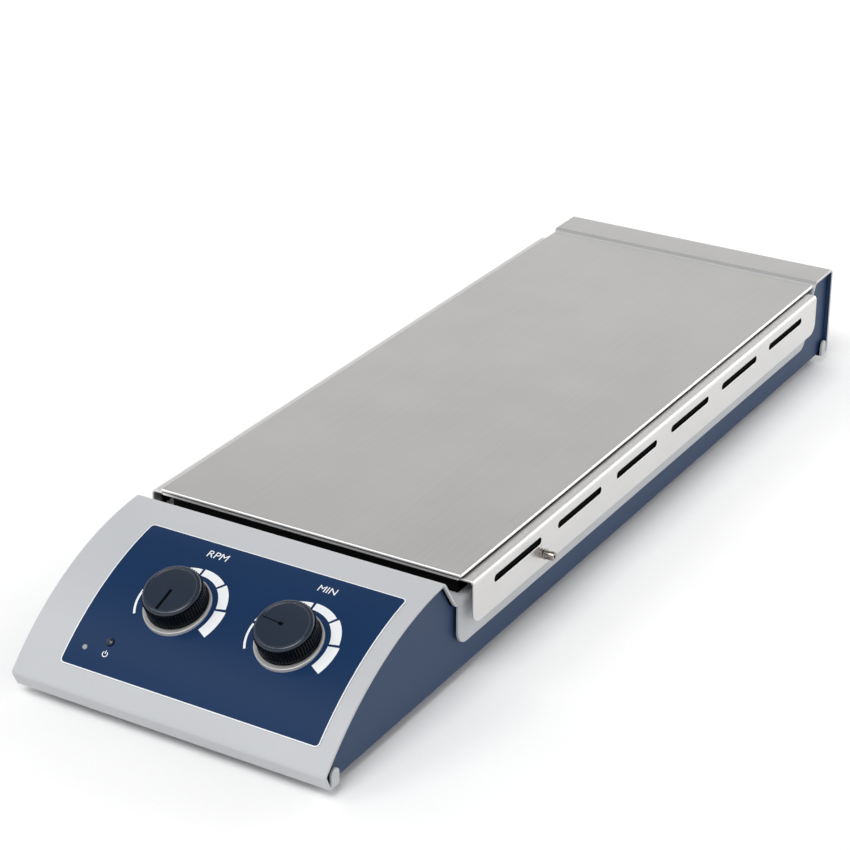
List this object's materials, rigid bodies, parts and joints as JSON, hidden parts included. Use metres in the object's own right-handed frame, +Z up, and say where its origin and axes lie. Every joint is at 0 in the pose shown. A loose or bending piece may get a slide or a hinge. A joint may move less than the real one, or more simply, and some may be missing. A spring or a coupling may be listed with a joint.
{
  "type": "multi-position magnetic stirrer",
  "caption": "Long bench magnetic stirrer with a curved navy control panel, two ribbed knobs, a brushed steel top plate on slotted side rails and a belt drive under the plate.",
  "frame": {"origin": "middle of the box, on the plane under the feet", "axes": "+Z up; +Y from the control panel to the rear wall; +X to the right seen from the panel"},
  "size_m": [0.208, 0.5814, 0.0661],
  "materials": {
    "grey_paint": "light grey powder paint, fine satin grain",
    "navy_coat": "navy powder paint, satin",
    "brushed_plate": "stainless sheet, fine straight grain",
    "rail_steel": "stainless sheet, matte",
    "zinc_steel": "zinc-plated or bare steel",
    "printed_film": "printed polyester film, satin",
    "knob_plastic": "moulded black plastic, soft sheen",
    "black_plastic": "moulded black plastic, matte",
    "lamp_plastic": "clear-white lens",
    "board_laminate": "green board laminate",
    "white_acetal": "natural white acetal",
    "belt_rubber": "black belt rubber",
    "foot_rubber": "black foot rubber",
    "pin_brass": "plated brass blades"
  },
  "bodies": {
    "casing": {"base_pan": "navy_coat", "top_cover": "grey_paint", "top_plate": "brushed_plate", "left_rail": "rail_steel", "right_rail": "rail_steel", "plate_supports": "black_plastic", "plate_nuts": "zinc_steel", "rail_screws": "zinc_steel", "rail_studs": "zinc_steel", "rail_nuts": "zinc_steel", "panel_overlay": "printed_film", "knob_bezels": "brushed_plate", "pot_bodies": "zinc_steel", "pot_nuts": "zinc_steel", "lamp_lens": "lamp_plastic", "lamp_holder": "black_plastic", "button_switch": "black_plastic", "control_board": "board_laminate", "power_board": "board_laminate", "board_standoffs": "white_acetal", "drive_deck": "zinc_steel", "deck_pillars": "zinc_steel", "carrier_axles": "zinc_steel", "carrier_clips": "zinc_steel", "drive_belts": "belt_rubber", "motor_stator": "black_plastic", "motor_screws": "zinc_steel", "inlet_socket": "black_plastic", "inlet_pins": "pin_brass", "inlet_screws": "zinc_steel", "feet": "foot_rubber", "foot_screws": "zinc_steel", "cover_screws": "zinc_steel"},
    "speed_dial": {"speed_knob": "knob_plastic", "speed_shaft": "zinc_steel"},
    "time_dial": {"time_knob": "knob_plastic", "time_shaft": "zinc_steel"},
    "power_key": {"power_button": "black_plastic"},
    "motor_spindle": {"motor_bell": "zinc_steel", "motor_pulley": "white_acetal"},
    "rotor_1": {"carrier_1": "white_acetal", "magnets_1": "zinc_steel"},
    "rotor_2": {"carrier_2": "white_acetal", "magnets_2": "zinc_steel"},
    "rotor_3": {"carrier_3": "white_acetal", "magnets_3": "zinc_steel"},
    "rotor_4": {"carrier_4": "white_acetal", "magnets_4": "zinc_steel"},
    "rotor_5": {"carrier_5": "white_acetal", "magnets_5": "zinc_steel"},
    "rotor_6": {"carrier_6": "white_acetal", "magnets_6": "zinc_steel"},
    "rotor_7": {"carrier_7": "white_acetal", "magnets_7": "zinc_steel"},
    "rotor_8": {"carrier_8": "white_acetal", "magnets_8": "zinc_steel"},
    "rotor_9": {"carrier_9": "white_acetal", "magnets_9": "zinc_steel"},
    "rotor_10": {"carrier_10": "white_acetal", "magnets_10": "zinc_steel"}
  },
  "joints": [
    {"name": "speed_turn", "type": "hinge", "parent": "casing", "child": "speed_dial", "pos_m": [-0.02215, -0.24514, 0.04829], "axis": [0, 0.441, -0.8975], "range_deg": [0, 295]},
    {"name": "time_turn", "type": "hinge", "parent": "casing", "child": "time_dial", "pos_m": [0.04215, -0.24514, 0.04829], "axis": [0, 0.441, -0.8975], "range_deg": [-36, 204]},
    {"name": "power_press", "type": "slide", "parent": "casing", "child": "power_key", "axis": [0, 0.5999, -0.8001], "range_m": [0, 0.001], "stiffness_N_per_m": 400},
    {"name": "motor_spin", "type": "hinge", "parent": "casing", "child": "motor_spindle", "pos_m": [0, -0.18478, 0.025], "axis": [0, 0, 1], "continuous": true},
    {"name": "carrier_spin_1", "type": "hinge", "parent": "casing", "child": "rotor_1", "pos_m": [-0.045, -0.12278, 0.025], "axis": [0, 0, 1], "continuous": true},
    {"name": "carrier_spin_2", "type": "hinge", "parent": "casing", "child": "rotor_2", "pos_m": [-0.045, -0.03872, 0.025], "axis": [0, 0, 1], "continuous": true},
    {"name": "carrier_spin_3", "type": "hinge", "parent": "casing", "child": "rotor_3", "pos_m": [-0.045, 0.04534, 0.025], "axis": [0, 0, 1], "continuous": true},
    {"name": "carrier_spin_4", "type": "hinge", "parent": "casing", "child": "rotor_4", "pos_m": [-0.045, 0.1294, 0.025], "axis": [0, 0, 1], "continuous": true},
    {"name": "carrier_spin_5", "type": "hinge", "parent": "casing", "child": "rotor_5", "pos_m": [-0.045, 0.21347, 0.025], "axis": [0, 0, 1], "continuous": true},
    {"name": "carrier_spin_6", "type": "hinge", "parent": "casing", "child": "rotor_6", "pos_m": [0.045, -0.12278, 0.025], "axis": [0, 0, 1], "continuous": true},
    {"name": "carrier_spin_7", "type": "hinge", "parent": "casing", "child": "rotor_7", "pos_m": [0.045, -0.03872, 0.025], "axis": [0, 0, 1], "continuous": true},
    {"name": "carrier_spin_8", "type": "hinge", "parent": "casing", "child": "rotor_8", "pos_m": [0.045, 0.04534, 0.025], "axis": [0, 0, 1], "continuous": true},
    {"name": "carrier_spin_9", "type": "hinge", "parent": "casing", "child": "rotor_9", "pos_m": [0.045, 0.1294, 0.025], "axis": [0, 0, 1], "continuous": true},
    {"name": "carrier_spin_10", "type": "hinge", "parent": "casing", "child": "rotor_10", "pos_m": [0.045, 0.21347, 0.025], "axis": [0, 0, 1], "continuous": true}
  ],
  "couplings": [
    {"joint": "carrier_spin_1", "follows": "motor_spin", "ratio": 0.5},
    {"joint": "carrier_spin_2", "follows": "motor_spin", "ratio": 0.5},
    {"joint": "carrier_spin_3", "follows": "motor_spin", "ratio": 0.5},
    {"joint": "carrier_spin_4", "follows": "motor_spin", "ratio": 0.5},
    {"joint": "carrier_spin_5", "follows": "motor_spin", "ratio": 0.5},
    {"joint": "carrier_spin_6", "follows": "motor_spin", "ratio": 0.5},
    {"joint": "carrier_spin_7", "follows": "motor_spin", "ratio": 0.5},
    {"joint": "carrier_spin_8", "follows": "motor_spin", "ratio": 0.5},
    {"joint": "carrier_spin_9", "follows": "motor_spin", "ratio": 0.5},
    {"joint": "carrier_spin_10", "follows": "motor_spin", "ratio": 0.5}
  ]
}
